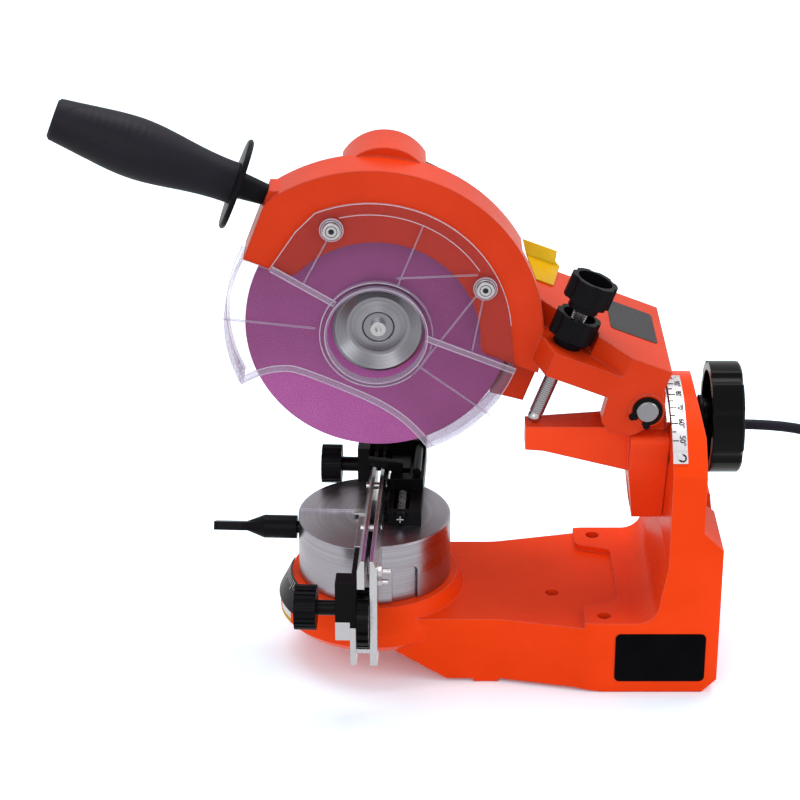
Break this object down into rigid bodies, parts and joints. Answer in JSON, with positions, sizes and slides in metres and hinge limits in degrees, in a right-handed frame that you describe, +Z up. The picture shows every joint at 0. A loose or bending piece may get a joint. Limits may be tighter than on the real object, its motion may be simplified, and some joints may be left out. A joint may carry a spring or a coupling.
{
  "type": "electric chainsaw chain sharpener",
  "caption": "Bench-mounted electric chain grinder: tilting wheel head with a handle and clear guard over a turning chain vise, with angle scales and a depth stop.",
  "frame": {"origin": "midway between the two bench bolt holes, on the underside of the base", "axes": "+X along the base towards the upright, +Y away from the user, +Z up"},
  "size_m": [0.5816, 0.1864, 0.3267],
  "materials": {
    "base_paint": "satin",
    "head_paint": "satin",
    "motor_paint": "satin",
    "turned_alloy": "polished",
    "jaw_steel": "satin",
    "zinc_steel": "satin",
    "black_steel": "satin",
    "black_plastic": "satin",
    "grip_rubber": "matte",
    "cord_rubber": "satin",
    "abrasive": "matte",
    "laminations": "satin",
    "clear_guard": "gloss",
    "scale_black": "satin",
    "rocker_red": "gloss"
  },
  "bodies": {
    "base": {"base_casting": "base_paint", "angle_scale": "zinc_steel", "table_scale": "scale_black", "tilt_pivot_bolt": "zinc_steel", "cord_gland": "cord_rubber", "cord": "cord_rubber", "cord_coil": "cord_rubber", "cord_tail": "cord_rubber", "plug": "cord_rubber"},
    "turntable": {"turntable_disc": "turned_alloy", "table_pivot_bolt": "zinc_steel", "table_lock_nut": "zinc_steel", "fixed_jaw": "jaw_steel", "vise_pins": "jaw_steel", "front_bracket": "black_steel", "front_clevis": "jaw_steel", "rear_block": "black_steel", "stop_carriage": "black_steel", "stop_rod": "jaw_steel", "stop_spring": "jaw_steel", "stop_screw": "jaw_steel"},
    "moving_jaw": {"moving_jaw": "jaw_steel", "clamp_rod": "black_steel"},
    "clamp_lever": {"clamp_lever": "black_plastic"},
    "front_knob": {"front_knob": "black_plastic", "front_knob_screw": "black_steel"},
    "centring_wheel": {"centring_wheel": "black_steel"},
    "rear_knob": {"rear_knob": "black_plastic", "rear_knob_screw": "black_steel"},
    "stop_pawl": {"stop_pawl": "black_steel"},
    "tilt_bracket": {"tilt_bracket": "head_paint", "angle_pointer": "zinc_steel", "clamp_stud": "zinc_steel", "hinge_pin": "zinc_steel", "pin_circlips": "black_steel"},
    "handwheel": {"handwheel": "black_plastic"},
    "head": {"head_casting": "head_paint", "arm_cover": "black_plastic", "motor_shell": "motor_paint", "motor_end_cap": "black_plastic", "motor_stator": "laminations", "motor_bearings": "zinc_steel", "wheel_guard": "clear_guard", "guard_screws": "zinc_steel", "handle_grip": "grip_rubber", "handle_collar": "black_plastic", "handle_stud": "zinc_steel", "switch_body": "black_plastic"},
    "spindle": {"rotor_shaft": "zinc_steel", "rotor_core": "laminations", "cooling_fan": "black_plastic", "inner_flange": "turned_alloy", "grinding_wheel": "abrasive", "outer_flange": "turned_alloy", "flange_screw": "zinc_steel"},
    "depth_stop": {"depth_stop_rod": "zinc_steel"},
    "depth_knob": {"depth_knob": "black_plastic"},
    "lock_knob": {"lock_knob": "black_plastic"},
    "switch_rocker": {"switch_rocker": "rocker_red"}
  },
  "joints": [
    {"name": "table_turn", "type": "hinge", "parent": "base", "child": "turntable", "pos_m": [-0.1276, 0, 0.048], "axis": [0, 0, 1], "range_deg": [-32.2, 37.8]},
    {"name": "jaw_slide", "type": "slide", "parent": "turntable", "child": "moving_jaw", "axis": [0.9988, -0.0489, 0], "range_m": [0, 0.0015]},
    {"name": "lever_turn", "type": "hinge", "parent": "turntable", "child": "clamp_lever", "pos_m": [-0.18253, 0.00269, 0.0728], "axis": [0.9988, -0.0489, 0], "range_deg": [0, 180]},
    {"name": "front_knob_turn", "type": "hinge", "parent": "turntable", "child": "front_knob", "pos_m": [-0.16137, -0.07644, 0.0652], "axis": [0.9988, -0.0489, 0], "range_deg": [-360, 360]},
    {"name": "centring_wheel_turn", "type": "hinge", "parent": "turntable", "child": "centring_wheel", "pos_m": [-0.13241, -0.07786, 0.0595], "axis": [0.9988, -0.0489, 0], "continuous": true},
    {"name": "rear_knob_turn", "type": "hinge", "parent": "turntable", "child": "rear_knob", "pos_m": [-0.1503, 0.04757, 0.0904], "axis": [0.9988, -0.0489, 0], "range_deg": [-360, 360]},
    {"name": "stop_pawl_lift", "type": "hinge", "parent": "turntable", "child": "stop_pawl", "pos_m": [-0.11444, 0.02338, 0.095], "axis": [0.0489, 0.9988, 0], "range_deg": [0, 35]},
    {"name": "head_tilt", "type": "hinge", "parent": "base", "child": "tilt_bracket", "pos_m": [0.0335, 0, 0.097], "axis": [1, 0, 0], "range_deg": [0, 40]},
    {"name": "handwheel_turn", "type": "hinge", "parent": "tilt_bracket", "child": "handwheel", "pos_m": [0.065, 0, 0.1433], "axis": [1, 0, 0], "range_deg": [-360, 360]},
    {"name": "head_lift", "type": "hinge", "parent": "tilt_bracket", "child": "head", "pos_m": [0.0203, 0, 0.1625], "axis": [0, 1, 0], "range_deg": [0, 35]},
    {"name": "spindle_turn", "type": "hinge", "parent": "head", "child": "spindle", "pos_m": [-0.125, 0, 0.19975], "axis": [0, 1, 0], "continuous": true},
    {"name": "depth_stop_slide", "type": "slide", "parent": "head", "child": "depth_stop", "axis": [0.3584, 0, 0.9336], "range_m": [0, 0.00625]},
    {"name": "depth_knob_turn", "type": "hinge", "parent": "depth_stop", "child": "depth_knob", "pos_m": [-0.01156, -0.0145, 0.22293], "axis": [0.3584, 0, 0.9336], "range_deg": [0, 1800]},
    {"name": "lock_knob_turn", "type": "hinge", "parent": "head", "child": "lock_knob", "pos_m": [-0.02052, -0.0145, 0.19959], "axis": [0.3584, 0, 0.9336], "range_deg": [0, 90]},
    {"name": "switch_rock", "type": "hinge", "parent": "head", "child": "switch_rocker", "pos_m": [0.0009, 0.057, 0.18173], "axis": [0.3584, 0, 0.9336], "range_deg": [-11, 0]}
  ],
  "couplings": [
    {"joint": "lever_turn", "follows": "jaw_slide", "rad_per_m": 2094.2},
    {"joint": "depth_knob_turn", "follows": "depth_stop_slide", "rad_per_m": 5026}
  ]
}
